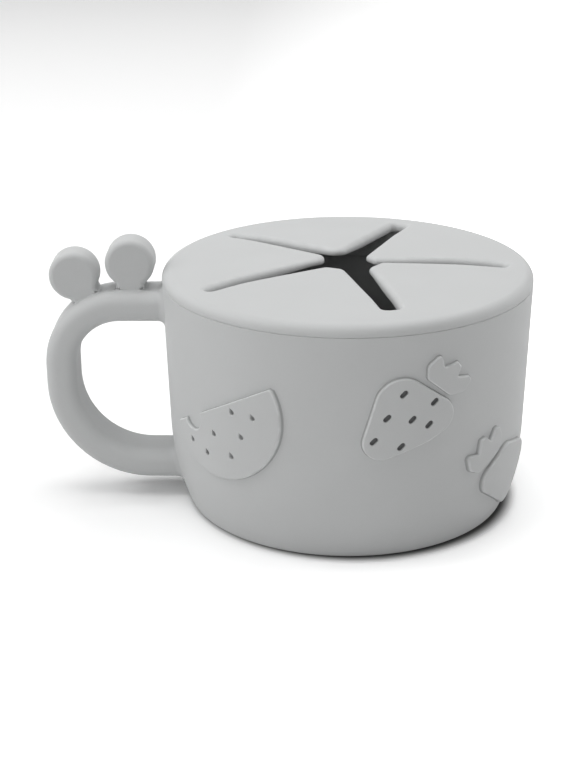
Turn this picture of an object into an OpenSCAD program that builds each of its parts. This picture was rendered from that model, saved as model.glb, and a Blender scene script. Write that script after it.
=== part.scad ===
// Snack cup for a toddler: a soft round cup with a loop handle on its left,
// and a push-in lid whose five flaps let a hand in and keep the snacks in.
// Millimetres. The origin is the middle of the base, on the table. +Z is up,
// the handle points along -X and the fruit reliefs face -Y.

/* [Cup] */
// Diameter of the cup at the seam, its widest place
cup_d = 90; // [80:1:110]
// Height of the cup from the table to the seam under the lid
cup_h = 56.4; // [54:0.2:70]
// Draft of the upper wall, in degrees
wall_draft = 1.8; // [0.6:0.1:3]
// Height at which the upper wall meets the rounded lower wall
shoulder_z = 21; // [17:0.5:26]
// Radius of the rounded lower wall, seen from the side
bowl_r = 60; // [48:1:80]
// Fillet around the edge of the base
base_fillet = 1.2; // [0.8:0.1:2]
// Thickness of the wall
wall_t = 3; // [2.6:0.1:3.6]
// Thickness of the floor
floor_t = 3.5; // [2.5:0.1:5]
// Fillet inside, between the floor and the wall
floor_fillet = 8; // [5:0.5:12]
// Fillet on the outer edges of the seam, on the cup and on the lid
seam_fillet = 0.4; // [0.2:0.05:0.6]
// Clearance between the wall and what stands on it: the handle and the reliefs
wall_gap = 0.05; // [0.03:0.01:0.1]

/* [Lid] */
// Height of the lid's rim above the seam
lid_h = 2.75; // [2.5:0.05:3.4]
// Rise of the lid's middle above its rim
lid_crown = 1; // [0.6:0.1:1.6]
// Thickness of the lid's top and flaps
lid_t = 2.4; // [1.8:0.1:2.45]
// Rounding of the lid's outer edge
lid_edge_r = 2.3; // [1.5:0.1:2.3]
// Depth of the skirt that plugs into the cup
skirt_h = 7; // [5:0.5:9]
// Thickness of the skirt
skirt_t = 2; // [1.5:0.1:2.3]
// Height of the sealing bead off the skirt
bead_h = 0.7; // [0.4:0.1:1]
// Clearance between the sealing bead and the cup's bore
plug_clear = 0.08; // [0.05:0.01:0.2]

/* [Slits] */
// Distance from the lid's middle to the far end of a slit
slit_reach = 37.5; // [34:0.5:37.5]
// Width of a slit at its far end
slit_end_w = 2.2; // [1.6:0.1:2.6]
// Width of a slit at the lid's middle
slit_mid_w = 3.4; // [2.6:0.1:4]
// Turn of the first slit from +X, in degrees
slit_turn = -4; // [-12:1:12]
// Distance from the lid's middle to the blunt tips of the flaps
tip_reach = 5.8; // [5:0.1:8]
// Rounding of the corners of the tips
tip_round = 1.5; // [0.8:0.1:1.8]
// Extra radius of a flap's rolled root over half the lid's thickness
root_over = 0.15; // [0.12:0.01:0.3]
// Clearance between a flap's rolled root and the ring
root_clear = 0.1; // [0.08:0.01:0.2]

/* [Handle] */
// Width of the handle across the loop
handle_w = 13.4; // [10:0.1:15]
// Thickness of the handle in the plane of the loop
handle_t = 7.5; // [6.8:0.1:8.5]
// Rounding of the handle's long edges
handle_round = 3; // [1.5:0.1:3.2]
// Drop from the seam to the middle of the top arm
arm_drop = 6.55; // [5.5:0.05:9]
// Straight length of the top arm, outside the cup
arm_l = 10.4; // [9:0.1:20]
// Radius of the upper corner, at the middle of the handle
corner_r = 15; // [12:0.1:16]
// Straight length of the side, between the two corners
side_l = 4.85; // [2:0.05:6]
// Radius of the lower corner
lower_r = 21.5; // [18:0.1:22]

/* [Knobs] */
// Radius of the two flat knobs on the handle
knob_r = 6; // [4.5:0.1:6.5]
// Thickness of the knobs and of their necks
knob_t = 7.5; // [5:0.1:8.5]
// Rounding of the knobs' edges
knob_round = 1.4; // [0.8:0.1:2]
// Width of the neck under each knob
neck_w = 7; // [5:0.1:8]
// Rounding of the necks' edges
neck_round = 1; // [0.5:0.1:1.5]
// Distance of the inner knob's middle from the cup's side
inner_knob_x = 7.7; // [7:0.1:9]
// Height of the inner knob's middle above the handle
inner_knob_h = 6.65; // [6:0.05:9]
// Lean of the outer knob away from the cup, in degrees
outer_knob_lean = 26.5; // [22:0.5:35]
// Height of the outer knob's middle above the handle
outer_knob_h = 6.1; // [5:0.1:8]

/* [Fruit reliefs] */
// Height of the reliefs above the wall
relief_h = 1; // [0.6:0.1:1.4]
// Depth of the seed pits in the reliefs
pit_depth = 0.7; // [0.3:0.1:0.9]
// Angle of the melon slice's middle around the cup, from -Y towards +X
melon_angle = -42.9; // [-48:0.1:-38]
// Drop from the seam to the middle of the melon slice's cut edge
melon_drop = 21.4; // [20:0.1:23]
// Radius of the melon slice
melon_r = 17.6; // [15:0.1:19]
// Tilt of the melon slice's cut edge, in degrees
melon_tilt = 27.6; // [15:0.1:35]
// Radius of the bite out of the cut edge
bite_r = 3.4; // [2:0.1:4]
// Distance of the bite from the middle of the cut edge
bite_x = 9.7; // [9:0.1:12]
// Length of the strawberries, from tip to crown
berry_l = 21.6; // [19:0.1:23]
// Angle of the front strawberry around the cup
front_berry_angle = 16.6; // [14:0.1:20]
// Drop from the seam to the front strawberry's middle
front_berry_drop = 19.9; // [18.5:0.1:22]
// Turn of the front strawberry, in degrees
front_berry_turn = 0; // [-10:1:10]
// Angle of the side strawberry around the cup
side_berry_angle = 61; // [58:0.5:66]
// Height of the side strawberry's middle
side_berry_z = 14.5; // [13.5:0.5:20]
// Turn of the side strawberry, in degrees
side_berry_turn = 0; // [-8:1:8]

/* [Hidden] */

$fn = 120;
// Facets of the large circle whose arc is the lid's crown
arc_fn = 1440;
// Extra length that carries a cut clear of the face it opens
cut = 1;

cup_r = cup_d / 2;
// Radius of the outside where the upper wall meets the rounded lower wall
shoulder_r = cup_r - (cup_h - shoulder_z) * tan(wall_draft);
// Centre of the rounded lower wall's arc, in the plane of radius and height
bowl_x = shoulder_r - bowl_r * cos(wall_draft);
bowl_z = shoulder_z + bowl_r * sin(wall_draft);
// Middles of the fillets at the base and at the floor, which touch the lower wall
base_c = fillet_middle(bowl_r - base_fillet, base_fillet);
floor_c = fillet_middle(bowl_r - wall_t - floor_fillet, floor_t + floor_fillet);

// Cylindrical bore at the mouth, which the lid's skirt plugs into
bore_r = cup_r - wall_t;
bore_h = skirt_h + 1;
// Radius of the inside wall just below the bore
throat_r = cup_r - wall_t / cos(wall_draft) - bore_h * tan(wall_draft);

// Lid: height of its rim, radius inside its rounded edge, and the sphere of its crown
lid_z = cup_h + lid_h;
crown_edge_r = cup_r - lid_edge_r;
crown_r = (pow(crown_edge_r, 2) + pow(lid_crown, 2)) / (2 * lid_crown);
crown_z = lid_z + lid_crown - crown_r;
bead_r = bore_r - plug_clear;
skirt_r = bead_r - bead_h;

// Five flaps fill a pentagon whose corners are the far ends of the slits
flap_count = 5;
flap_step = 360 / flap_count;
slit_end = slit_reach - slit_end_w / 2;
ring_apothem = slit_end * cos(flap_step / 2);
root_r = lid_t / 2 + root_over;
// Distance of a flap's bending line from the lid's middle, and its height
root_x = ring_apothem - root_clear - root_r;
root_z = crown_z + sqrt(pow(crown_r, 2) - pow(root_x, 2)) - lid_t / 2;

// Handle: centres of its two corners, and the heights of its arms
arm_z = cup_h - arm_drop;
arm_end = cup_r + arm_l;
side_x = arm_end + corner_r;
corner_c = [-arm_end, arm_z - corner_r];
lower_c = [lower_r - side_x, corner_c.y - side_l];
// The arms start this deep inside the cup's outside, which cuts them
arm_depth = 8;
arm_root = cup_r - arm_depth;

// Heights of the middles of the two reliefs that hang from the seam
melon_z = cup_h - melon_drop;
front_berry_z = cup_h - front_berry_drop;

// The strawberries are drawn this long, each in its own plane, and then scaled
drawn_l = 21.6;
// Middle and radius of the lobes of each strawberry
front_lobes = [[7.3, -0.2, 4.6], [-0.9, 3.6, 6.3], [-5.5, -5.3, 4.3], [3.4, -0.6, 6]];
side_lobes = [[-7.4, 0.6, 3.9], [3.8, -6.6, 3.8], [5.5, 1.5, 4.5], [-1.7, 3.6, 4.2]];
// Middle and turn of each crown of leaves
front_crown = [9.4, 9, -46];
side_crown = [-11.6, 8.2, 22];
// Leaves of the crown, which point along +Y
crown_outline = [[-3.3, -3.2], [4.4, -2.4], [6.9, 0.5], [6.5, 3.6], [5.2, 3.8], [2.7, 1.9],
    [1.6, 4.2], [0, 4.4], [-1.8, 1.4], [-4.9, 3.1], [-5.4, -1]];
leaf_round = 0.5;
// Seeds of the front strawberry, and the direction in which they lie
berry_seeds = [[-0.7, 6.2], [6.8, 3.4], [-4.4, 0.7], [1.5, -0.2], [5.6, -2], [-7.3, -4.8], [-1, -6.6]];
berry_seed_turn = 44;
// Seeds of the melon slice: share of its radius, and direction from its middle
melon_seeds = [[0.63, -27], [0.31, -24], [0.54, -62], [0.68, -94], [0.72, -132], [0.38, -122],
    [0.79, -157]];
seed_r = 0.62;
// Length of a strawberry's seed, and reach of a melon's seed from the middle of its round end
berry_seed_l = 2.2;
melon_seed_l = 1.25;

// --- Cup -----------------------------------------------------------------

// Middle of a fillet at height z, at the given distance from the middle of the
// lower wall's arc
function fillet_middle(reach, z) = [bowl_x + sqrt(pow(reach, 2) - pow(bowl_z - z, 2)), z];

// Direction in which a fillet with middle c touches the lower wall
function touch_angle(c) = atan2(c.y - bowl_z, c.x - bowl_x);

// Points of an arc about c, from angle a0 to a1
function arc(c, r, a0, a1, steps = 8) = [for (i = [0 : steps])
    c + r * [cos(a0 + (a1 - a0) * i / steps), sin(a0 + (a1 - a0) * i / steps)]];

// Fillet and rounded lower wall of a surface at the given distance outside the wall
function lower_wall(fillet_c, fillet_r, grow) = concat(
    arc(fillet_c, fillet_r, -90, touch_angle(fillet_c)),
    arc([bowl_x, bowl_z], bowl_r + grow, touch_angle(fillet_c), -wall_draft));

// Everything inside the cup's outside surface, grown outwards by `grow`
module outside_solid(grow = 0) {
    rotate_extrude() polygon(concat(
        [[0, cup_h], [0, -grow]],
        lower_wall(base_c, base_fillet + grow, grow),
        [[cup_r + grow / cos(wall_draft), cup_h]]));
}

module cup_body() {
    color("#b7b9b6") rotate_extrude() polygon(concat(
        [[0, floor_t], [0, 0]],
        lower_wall(base_c, base_fillet, 0),
        arc([cup_r - seam_fillet, cup_h - seam_fillet], seam_fillet, 0, 90),
        [[bore_r, cup_h], [bore_r, cup_h - bore_h], [throat_r, cup_h - bore_h]],
        reverse(lower_wall(floor_c, floor_fillet, -wall_t))));
}

// A list from its last item to its first
function reverse(list) = [for (i = [len(list) - 1 : -1 : 0]) list[i]];

// --- Handle --------------------------------------------------------------

// Square of the given size with round corners, centred
module round_rect(w, h, r) {
    square([w - 2 * r, h], center = true);
    square([w, h - 2 * r], center = true);
    for (x = [-1, 1], y = [-1, 1])
        translate([x * (w / 2 - r), y * (h / 2 - r)]) circle(r = r, $fn = 48);
}

module handle_section() {
    round_rect(handle_t, handle_w, handle_round);
}

// Quarter bend of the handle about c, from the angle `from`
module bend(c, r, from) {
    translate(c) rotate([0, 0, from]) rotate_extrude(angle = 90)
        translate([r, 0]) handle_section();
}

// Straight arm from x0 to x1 at height z, drawn in the plane of the loop
module arm(x0, x1, z) {
    translate([x0, z, 0]) rotate([90, 0, 90]) linear_extrude(x1 - x0) handle_section();
}

// The loop, turned upright into the plane of X and Z
module handle_loop() {
    rotate([90, 0, 0]) {
        arm(-arm_end, -arm_root, arm_z);
        bend(corner_c, corner_r, 90);
        translate([-side_x, lower_c.y, 0]) rotate([-90, 0, 0])
            linear_extrude(side_l) handle_section();
        bend(lower_c, lower_r, 180);
        arm(lower_c.x, -arm_root, lower_c.y - lower_r);
    }
}

module handle() {
    color("#b3b5b2") difference() {
        handle_loop();
        outside_solid(wall_gap);
    }
}

// Flat round knob on a neck: its middle is h above the handle's surface, and
// the handle's middle line is at the origin with its outer side along +Z
module knob(h) {
    z = handle_t / 2 + h;
    translate([0, 0, z]) rotate([90, 0, 0]) rotate_extrude() intersection() {
        round_rect(2 * knob_r, knob_t, knob_round);
        translate([0, -knob_t]) square([knob_r + cut, 2 * knob_t]);
    }
    linear_extrude(z) round_rect(neck_w, knob_t, neck_round);
}

module handle_knob_inner() {
    color("#bcbebb") difference() {
        translate([-cup_r - inner_knob_x, 0, arm_z]) knob(inner_knob_h);
        handle_loop();
    }
}

module handle_knob_outer() {
    color("#bcbebb") difference() {
        translate([corner_c.x, 0, corner_c.y]) rotate([0, -outer_knob_lean, 0])
            translate([0, 0, corner_r]) knob(outer_knob_h);
        handle_loop();
    }
}

// --- Fruit reliefs -------------------------------------------------------

// Carries a flat drawing out through the wall, at an angle around the cup and a height
module facing(angle, z) {
    rotate([90, 0, angle]) translate([0, z, 0]) linear_extrude(cup_d) children();
}

// Raises a flat drawing off the wall
module raised(angle, z) {
    difference() {
        intersection() {
            outside_solid(relief_h);
            facing(angle, z) children();
        }
        outside_solid(wall_gap);
    }
}

// A relief with its seed pits: children(0) is its outline, children(1) its seeds
module seeded_relief(angle, z) {
    difference() {
        raised(angle, z) children(0);
        difference() {
            facing(angle, z) children(1);
            outside_solid(relief_h - pit_depth);
        }
    }
}

// Seed of the melon, as a drop that points along +Y
module melon_seed() {
    lean = asin(seed_r / melon_seed_l);
    circle(r = seed_r, $fn = 24);
    polygon([[-seed_r * cos(lean), seed_r * sin(lean)],
        [seed_r * cos(lean), seed_r * sin(lean)], [0, melon_seed_l]]);
}

// Seed of a strawberry, as a bar with round ends along +X
module berry_seed() {
    straight_l = berry_seed_l - 2 * seed_r;
    square([straight_l, 2 * seed_r], center = true);
    for (side = [-1, 1])
        translate([side * straight_l / 2, 0]) circle(r = seed_r, $fn = 24);
}

module melon_outline() {
    rotate([0, 0, melon_tilt]) difference() {
        circle(r = melon_r);
        translate([-melon_r - cut, 0]) square([2 * (melon_r + cut), melon_r + cut]);
        translate([-bite_x, 0]) circle(r = bite_r);
    }
}

module melon_relief() {
    color("#c3c5c2") seeded_relief(melon_angle, melon_z) {
        melon_outline();
        rotate([0, 0, melon_tilt]) for (place = melon_seeds)
            translate(place[0] * melon_r * [cos(place[1]), sin(place[1])]) melon_seed();
    }
}

// A strawberry's flat drawing at its real size and turn
module drawn(turn) {
    rotate([0, 0, turn]) scale(berry_l / drawn_l) children();
}

module berry_outline(lobes) {
    hull() for (lobe = lobes)
        translate([lobe[0], lobe[1]]) circle(r = lobe[2], $fn = 72);
}

module strawberry_front() {
    color("#c3c5c2") seeded_relief(front_berry_angle, front_berry_z) {
        drawn(front_berry_turn) berry_outline(front_lobes);
        drawn(front_berry_turn) for (place = berry_seeds)
            translate(place) rotate([0, 0, berry_seed_turn]) berry_seed();
    }
}

module strawberry_side() {
    color("#c3c5c2") raised(side_berry_angle, side_berry_z)
        drawn(side_berry_turn) berry_outline(side_lobes);
}

// Crown of leaves in the drawing of a strawberry that faces `angle` at height z
module strawberry_crown(angle, z, turn, crown) {
    color("#cccecb") raised(angle, z) drawn(turn)
        translate([crown[0], crown[1]]) rotate([0, 0, crown[2]])
            offset(r = leaf_round, $fn = 24) offset(delta = -leaf_round) polygon(crown_outline);
}

// --- Lid -----------------------------------------------------------------

// Half section of the lid's domed top, out to the given radius
module top_section(r) {
    intersection() {
        difference() {
            translate([0, crown_z]) circle(r = crown_r, $fn = arc_fn);
            translate([0, crown_z - lid_t]) circle(r = crown_r, $fn = arc_fn);
        }
        square([r, lid_z + lid_crown + cut]);
    }
}

// Rim of the lid, from the top down to the seam
module rim_section() {
    intersection() {
        union() {
            translate([skirt_r - skirt_t, cup_h]) square([crown_edge_r - skirt_r + skirt_t, lid_h]);
            translate([crown_edge_r, lid_z - lid_edge_r]) circle(r = lid_edge_r);
            translate([crown_edge_r, cup_h]) square([lid_edge_r, lid_h - lid_edge_r]);
        }
        translate([0, cup_h]) square([cup_r + cut, lid_h]);
        seam_side_section();
    }
}

// Everything inside the fillet that the rim has at the seam
module seam_side_section() {
    square([cup_r - seam_fillet, lid_z]);
    translate([cup_r - seam_fillet, cup_h + seam_fillet]) circle(r = seam_fillet);
    translate([0, cup_h + seam_fillet]) square([cup_r, lid_z]);
}

module skirt_section() {
    translate([skirt_r - skirt_t, cup_h - skirt_h]) square([skirt_t, skirt_h]);
    intersection() {
        translate([skirt_r, cup_h - skirt_h / 2]) circle(r = bead_h);
        translate([skirt_r - skirt_t / 2, 0]) square([cup_r, cup_h]);
    }
}

// Opening that the five flaps fill, with the round ends of the slits
module ring_opening() {
    rotate([0, 0, slit_turn]) {
        circle(r = slit_end, $fn = flap_count);
        for (i = [0 : flap_count - 1])
            rotate([0, 0, i * flap_step]) translate([slit_end, 0]) circle(d = slit_end_w);
    }
}

module lid_ring() {
    color("#c6c8c5") difference() {
        rotate_extrude() {
            top_section(crown_edge_r);
            rim_section();
            skirt_section();
        }
        linear_extrude(lid_z + 2 * lid_crown) ring_opening();
    }
}

// Outline of one flap, with its tip near the origin and its root along +X
module flap_outline() {
    // Half the width of the flap at distance x from the lid's middle
    function half_width(x) = x * tan(flap_step / 2)
        - (slit_mid_w + (slit_end_w - slit_mid_w) * x / slit_reach) / 2 / cos(flap_step / 2);
    root_end = root_x + root_r;
    tip_x = tip_reach + tip_round;
    tip_y = half_width(tip_x) - tip_round / cos(flap_step / 2);
    root_y = half_width(root_end);
    hull() {
        for (side = [-1, 1])
            translate([tip_x, side * tip_y]) circle(r = tip_round, $fn = 32);
        polygon([[tip_x, 0], [root_end, -root_y], [root_end, root_y]]);
    }
}

// Flap number i, cut from the domed top, with its root rolled about its bending line
module flap(i) {
    color("#d0d2cf") rotate([0, 0, slit_turn + (i - 0.5) * flap_step]) intersection() {
        rotate_extrude() top_section(crown_edge_r);
        linear_extrude(lid_z + 2 * lid_crown) flap_outline();
        union() {
            translate([root_x, 0, root_z]) rotate([90, 0, 0])
                cylinder(r = root_r, h = cup_d, center = true);
            translate([0, -cup_r, 0]) cube([root_x, cup_d, lid_z + 2 * lid_crown]);
        }
    }
}

cup_body();
handle();
handle_knob_inner();
handle_knob_outer();
melon_relief();
strawberry_front();
strawberry_crown(front_berry_angle, front_berry_z, front_berry_turn, front_crown);  // strawberry_front_crown
strawberry_side();
strawberry_crown(side_berry_angle, side_berry_z, side_berry_turn, side_crown);  // strawberry_side_crown
lid_ring();
flap(1);  // flap_1
flap(2);  // flap_2
flap(3);  // flap_3
flap(4);  // flap_4
flap(5);  // flap_5
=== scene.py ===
"""A toddler's snack container in soft grey silicone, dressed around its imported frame.

One moulding is the cup, with a loop handle, two flat knobs on it and raised fruit on
its wall. The other is the push-in lid, whose five flaps let a hand in. Each class
holds one sub-assembly: its sizes are fields, in metres, and its methods build the
meshes and dress them. +Z is up, the handle points along -X and the fruit faces -Y.
"""

import logging
import math
from collections.abc import Callable, Iterable, Sequence
from dataclasses import dataclass, field
from enum import Enum
from functools import cache

import bmesh
import bpy
from bmesh.types import BMEdge, BMFace, BMVert
from mathutils import Matrix, Vector


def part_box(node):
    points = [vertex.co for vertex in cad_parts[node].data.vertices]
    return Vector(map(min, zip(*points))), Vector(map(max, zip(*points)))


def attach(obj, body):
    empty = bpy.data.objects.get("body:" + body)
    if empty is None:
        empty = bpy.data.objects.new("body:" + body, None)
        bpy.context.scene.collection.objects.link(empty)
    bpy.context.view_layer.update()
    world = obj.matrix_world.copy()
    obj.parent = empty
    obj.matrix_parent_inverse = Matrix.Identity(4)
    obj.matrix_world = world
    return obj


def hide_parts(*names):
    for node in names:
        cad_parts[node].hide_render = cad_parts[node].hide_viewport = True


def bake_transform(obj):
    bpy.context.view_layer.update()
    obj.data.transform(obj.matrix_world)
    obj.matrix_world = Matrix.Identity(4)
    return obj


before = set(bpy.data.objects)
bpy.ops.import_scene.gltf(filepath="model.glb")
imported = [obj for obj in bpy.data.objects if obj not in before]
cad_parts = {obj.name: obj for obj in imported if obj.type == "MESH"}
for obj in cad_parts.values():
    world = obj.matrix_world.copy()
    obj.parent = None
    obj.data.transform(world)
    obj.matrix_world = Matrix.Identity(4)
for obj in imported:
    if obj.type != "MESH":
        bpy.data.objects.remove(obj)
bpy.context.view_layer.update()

MM = 0.001
WELD = 1e-4 * MM
FLAT = math.radians(0.1)
UP = Vector((0, 0, 1))

Point = tuple[float, float]
Place = Callable[[BMVert], Vector]

log = logging.getLogger("snack_container")


# --- Outlines -------------------------------------------------------------------------


def arc(centre: Point, radius: float, start: float, end: float, steps: int = 8) -> list[Point]:
    """Points along an arc.

    Args:
        centre: Middle of the arc.
        radius: Radius of the arc.
        start: Direction of the first point from the middle, in degrees.
        end: Direction of the last point, in degrees.
        steps: Number of equal steps between them.

    Returns:
        The points, both ends among them.
    """
    turns = [math.radians(start + (end - start) * i / steps) for i in range(steps + 1)]
    return [(centre[0] + radius * math.cos(t), centre[1] + radius * math.sin(t)) for t in turns]


def rounded(corners: Sequence[tuple[float, float, float]], steps: int = 6) -> list[Point]:
    """A closed outline with round corners.

    Args:
        corners: x, y and radius of each corner, in order round the outline.
        steps: Number of steps in each corner.

    Returns:
        The outline's points.
    """
    points = []
    for i, (x, y, radius) in enumerate(corners):
        corner = Vector((x, y))
        back = (Vector(corners[i - 1][:2]) - corner).normalized()
        ahead = (Vector(corners[(i + 1) % len(corners)][:2]) - corner).normalized()
        half = back.angle(ahead) / 2
        middle = corner + (back + ahead).normalized() * (radius / math.sin(half))
        first = corner + back * (radius / math.tan(half)) - middle
        last = corner + ahead * (radius / math.tan(half)) - middle
        for step in range(steps + 1):
            point = middle + first.slerp(last, step / steps).normalized() * radius
            points.append((point.x, point.y))
    return points


def belt(lobes: Sequence[tuple[float, float, float]], step: float = 6) -> list[Point]:
    """The outline of a belt stretched round some circles.

    Args:
        lobes: x, y and radius of each circle, anticlockwise.
        step: Largest turn between two points, in degrees.

    Returns:
        The outline's points, anticlockwise.
    """

    def leaves(a: tuple[float, float, float], b: tuple[float, float, float]) -> float:
        """Direction, from the middle of circle a, in which the belt leaves for b."""
        run = Vector((b[0] - a[0], b[1] - a[1]))
        return math.degrees(math.atan2(run.y, run.x) - math.acos((a[2] - b[2]) / run.length))

    points = []
    for i, lobe in enumerate(lobes):
        start = leaves(lobes[i - 1], lobe)
        turn = (leaves(lobe, lobes[(i + 1) % len(lobes)]) - start) % 360
        points += arc(lobe[:2], lobe[2], start, start + turn, math.ceil(turn / step))
    return points


def turned(points: Iterable[Point], angle: float, shift: Point = (0.0, 0.0)) -> list[Point]:
    """An outline turned about the origin by an angle in degrees, then shifted."""
    c, s = math.cos(math.radians(angle)), math.sin(math.radians(angle))
    return [(c * x - s * y + shift[0], s * x + c * y + shift[1]) for x, y in points]


def quarter(radius: float, steps: int = 4) -> list[Point]:
    """Run and fall along a quarter round, from level to upright, without its first point."""
    return [(x, radius - y) for x, y in arc((0, 0), radius, 90, 0, steps)[1:]]


# --- Meshes ---------------------------------------------------------------------------


def add(name: str, data: bpy.types.ID) -> bpy.types.Object:
    """Adds an object with the given data to the scene.

    Args:
        name: The object's name.
        data: Its mesh, light or camera.

    Returns:
        The object.
    """
    made = bpy.data.objects.new(name, data)
    bpy.context.scene.collection.objects.link(made)
    return made


class Blank:
    """A mesh in the making, which grows ring by ring from closed outlines.

    Each corner keeps its home, its place in the outline, the direction out of the
    outline there, an edge mask from 0 to 1, which tells the finish where edges are
    lightened, partly for wear and partly as a painted highlight, and a painted shade
    from 0 to 1, which tells it where to darken the colour as painted shade.
    """

    def __init__(self) -> None:
        """Starts an empty mesh with its four notes."""
        self.bm = bmesh.new()
        self.home = self.bm.verts.layers.float_vector.new("home")
        self.out = self.bm.verts.layers.float_vector.new("out")
        self.edge_wear_and_highlight = self.bm.verts.layers.float.new("edge_wear_and_highlight")
        self.deep = self.bm.verts.layers.float.new("deep")

    def note(self, face: BMFace) -> list[BMEdge]:
        """Notes each corner's home and outward direction, and gives the face's edges.

        Args:
            face: The face that fills an outline.

        Returns:
            The face's edges.
        """
        face.normal_update()
        for corner in face.loops:
            corner.vert[self.home] = corner.vert.co
            corner.vert[self.out] = -corner.calc_tangent()
        return list(face.edges)

    def outline(self, points: Iterable[Point], out: float = 0.0, up: float = 0.0) -> list[BMEdge]:
        """Draws a closed outline as a loop of edges.

        Args:
            points: The outline, in the plane of X and Y.
            out: Distance by which the loop then stands outside the outline.
            up: Height of the loop.

        Returns:
            The loop's edges.
        """
        face = self.bm.faces.new([self.bm.verts.new((x, y, 0)) for x, y in points])
        edges = self.note(face)
        for v in face.verts:
            v.co = v[self.home] + v[self.out] * out + UP * up
        bmesh.ops.delete(self.bm, geom=[face], context="FACES_ONLY")
        return edges

    def loft(
        self, edges: list[BMEdge], place: Place, edge_wear_and_highlight: float = 0.0, deep: float = 0.0
    ) -> list[BMEdge]:
        """Extrudes a loop once.

        Args:
            edges: The loop.
            place: Gives the place of each new corner.
            edge_wear_and_highlight: Edge mask of the new corners, for wear and painted highlight.
            deep: Painted shade of the new corners.

        Returns:
            The new loop's edges.
        """
        made = bmesh.ops.extrude_edge_only(self.bm, edges=edges)["geom"]
        verts = {item for item in made if isinstance(item, BMVert)}
        for v in verts:
            v.co = place(v)
            v[self.edge_wear_and_highlight] = edge_wear_and_highlight
            v[self.deep] = deep
        return [e for e in made if isinstance(e, BMEdge) and verts.issuperset(e.verts)]

    def rings(
        self, edges: list[BMEdge], profile: Iterable[Point], edge_wear_and_highlight: float = 0.0, deep: float = 0.0
    ) -> list[BMEdge]:
        """Lofts a flat outline's loop along a profile.

        Args:
            edges: The loop.
            profile: Distance outside the outline and height of each new ring.
            edge_wear_and_highlight: Edge mask of the new rings, for wear and painted highlight.
            deep: Painted shade of the new rings.

        Returns:
            The last ring's edges.
        """
        for out, up in profile:
            edges = self.loft(
                edges, lambda v, o=out, u=up: v[self.home] + v[self.out] * o + UP * u, edge_wear_and_highlight, deep
            )
        return edges

    def fill(self, edges: list[BMEdge]) -> None:
        """Closes a flat region between loops with faces, and joins what lies flat.

        Args:
            edges: The loops round the region, outer and inner.
        """
        made = bmesh.ops.triangle_fill(self.bm, edges=edges, use_beauty=True)["geom"]
        faces = dict.fromkeys(item for item in made if isinstance(item, BMFace))
        inner = dict.fromkeys(e for f in faces for e in f.edges)
        inner = [e for e in inner if len(e.link_faces) == 2 and all(f in faces for f in e.link_faces)]
        bmesh.ops.dissolve_limit(
            self.bm, angle_limit=FLAT, verts=[], edges=inner, use_dissolve_boundaries=False
        )

    def cut(self, place: Sequence[float], normal: Sequence[float]) -> None:
        """Cuts every face along a plane and keeps both sides.

        Args:
            place: A point of the plane.
            normal: The plane's normal.
        """
        bm = self.bm
        geom = [*bm.verts, *bm.edges, *bm.faces]
        bmesh.ops.bisect_plane(bm, geom=geom, dist=WELD, plane_co=place, plane_no=normal)

    def cut_evenly(self, axis: int, low: float, high: float, step: float) -> None:
        """Cuts along planes square to an axis, a step apart, between two places.

        Args:
            axis: 0 for X or 1 for Y.
            low: Where the planes begin.
            high: Where they end.
            step: Distance between them.
        """
        normal = [float(i == axis) for i in range(3)]
        for i in range(math.ceil(low / step), math.floor(high / step) + 1):
            self.cut([i * step * n for n in normal], normal)

    def warp(self, place: Place) -> None:
        """Moves every corner to where place says."""
        for v in self.bm.verts:
            v.co = place(v)

    def piece(self, name: str) -> bpy.types.Object:
        """Closes the work: welds it, turns its faces outwards and makes it an object.

        Args:
            name: The object's name.

        Returns:
            The object.
        """
        bm = self.bm
        bmesh.ops.remove_doubles(bm, verts=bm.verts, dist=WELD)
        bmesh.ops.dissolve_degenerate(bm, edges=bm.edges, dist=WELD)
        bmesh.ops.recalc_face_normals(bm, faces=bm.faces)
        for face in bm.faces:
            face.smooth = True
        bm.verts.layers.float_vector.remove(self.home)
        bm.verts.layers.float_vector.remove(bm.verts.layers.float_vector["out"])
        mesh = bpy.data.meshes.new(name)
        bm.to_mesh(mesh)
        bm.free()
        piece = add(name, mesh)
        piece.modifiers.new("even shading", "WEIGHTED_NORMAL").keep_sharp = True
        return piece


def dress(piece: bpy.types.Object, finish: "Silicone", body: str, *nodes: str) -> None:
    """Gives a piece its finish, and lets it ride on a body and stand for CAD nodes.

    Args:
        piece: The finished mesh, in place.
        finish: Its finish.
        body: Name of the body that carries it.
        nodes: The CAD nodes that it stands for.
    """
    piece.data.materials.append(finish.material())
    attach(piece, body)
    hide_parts(*nodes)
    log.info("%s: %d faces, on %s", piece.name, len(piece.data.polygons), body)


# --- Finishes -------------------------------------------------------------------------


GRAIN_SIZE = 0.32 * MM
WAVE_SIZE = 9 * MM
DRIFT_SIZE = 14 * MM
FLECK_SIZE = 0.5 * MM
PATCH_SIZE = 3 * MM
PATCH_RANGE = {"From Min": 0.3, "From Max": 0.7}


class Socket(Enum):
    """Kinds of socket that the node groups use."""

    VALUE = "NodeSocketFloat"
    COLOUR = "NodeSocketColor"
    VECTOR = "NodeSocketVector"


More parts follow.
